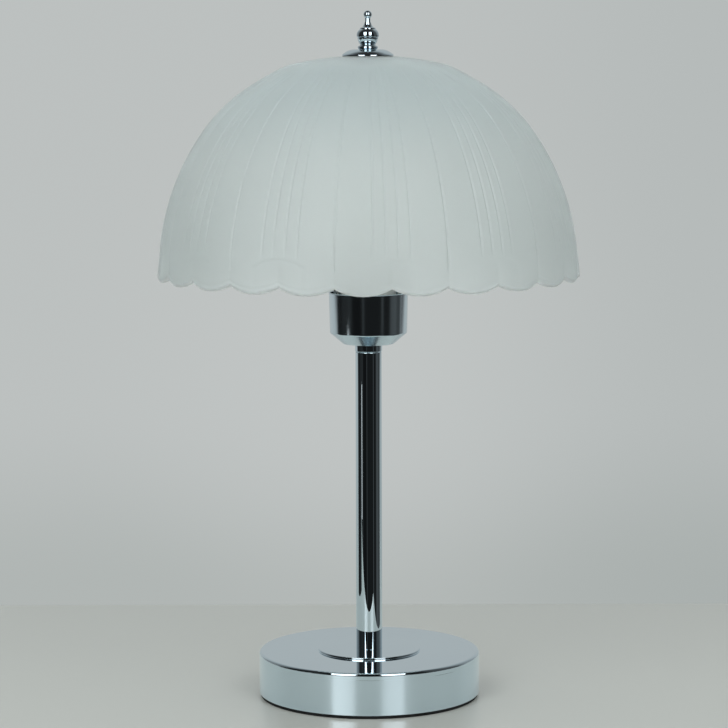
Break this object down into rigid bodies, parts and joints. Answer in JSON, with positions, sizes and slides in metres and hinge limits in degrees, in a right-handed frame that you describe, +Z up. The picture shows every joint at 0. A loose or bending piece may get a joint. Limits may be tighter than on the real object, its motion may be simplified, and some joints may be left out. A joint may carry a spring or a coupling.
{
  "type": "mushroom table lamp",
  "caption": "Chrome table lamp: round weighted base, slim tube, open cup, and a ribbed frosted glass dome with a scalloped rim, held by a turned finial.",
  "frame": {"origin": "centre of the foot pad's underside, on the surface the lamp stands on", "axes": "+Z up along the stem, -Y towards the viewer, +X to the viewer's right, +Y to the lead inlet"},
  "size_m": [0.2538, 0.2538, 0.4144],
  "materials": {
    "chrome": "mirror polished chrome plate",
    "frosted_glass": "acid frosted pressed glass, satin",
    "rubber_pad": "black sheet rubber",
    "cast_weight": "rough casting",
    "black_plastic": "moulded, satin",
    "plated_steel": "bright zinc plate",
    "holder_plastic": "white, semi gloss",
    "ceramic": "white glaze",
    "brass": "drawn brass",
    "clear_ring": "milky silicone",
    "bulb_tin": "drawn, satin",
    "bulb_white": "moulded, semi gloss",
    "bulb_opal": "opal, satin",
    "board": "white solder mask"
  },
  "bodies": {
    "root": {"base_pad": "rubber_pad", "base_shell": "chrome", "base_weight": "cast_weight", "cord_gland": "black_plastic", "base_washer": "plated_steel", "base_nut": "plated_steel", "threaded_pipe": "plated_steel", "stem_locator": "black_plastic", "stem_tube": "chrome", "neck_ring": "chrome", "socket_cup": "chrome", "cup_washer": "plated_steel", "cup_nut": "plated_steel", "lampholder_cap": "holder_plastic", "lampholder_body": "holder_plastic", "lampholder_core": "ceramic", "screw_shell": "brass", "centre_contact": "brass", "terminal_screws": "brass", "harp_foot": "plated_steel", "harp": "plated_steel", "shade_rest": "plated_steel", "shade_stud": "plated_steel", "lower_gasket": "clear_ring"},
    "shade": {"glass_shade": "frosted_glass", "upper_gasket": "clear_ring", "shade_cap": "chrome"},
    "finial_thread": {"finial_bush": "brass"},
    "finial": {"finial": "chrome"},
    "bulb_carrier": {"bulb_contact": "bulb_tin"},
    "bulb": {"bulb_insulator": "black_plastic", "bulb_screw_cap": "bulb_tin", "bulb_housing": "bulb_white", "bulb_diffuser": "bulb_opal", "led_board": "board"}
  },
  "joints": [
    {"name": "shade_lift", "type": "slide", "parent": "root", "child": "shade", "axis": [0, 0, 1], "range_m": [0, 0.15]},
    {"name": "finial_travel", "type": "slide", "parent": "shade", "child": "finial_thread", "axis": [0, 0, 1], "range_m": [0, 0.0081]},
    {"name": "finial_turn", "type": "hinge", "parent": "finial_thread", "child": "finial", "pos_m": [0, 0, 0.4], "axis": [0, 0, 1], "range_deg": [0, 2880]},
    {"name": "bulb_travel", "type": "slide", "parent": "root", "child": "bulb_carrier", "axis": [0, 0, 1], "range_m": [0, 0.0182]},
    {"name": "bulb_turn", "type": "hinge", "parent": "bulb_carrier", "child": "bulb", "pos_m": [0, 0, 0.3], "axis": [0, 0, 1], "range_deg": [0, 1800]}
  ],
  "couplings": [
    {"joint": "finial_travel", "follows": "finial_turn", "m_per_rad": 0.00015915},
    {"joint": "bulb_travel", "follows": "bulb_turn", "m_per_rad": 0.00057773}
  ]
}
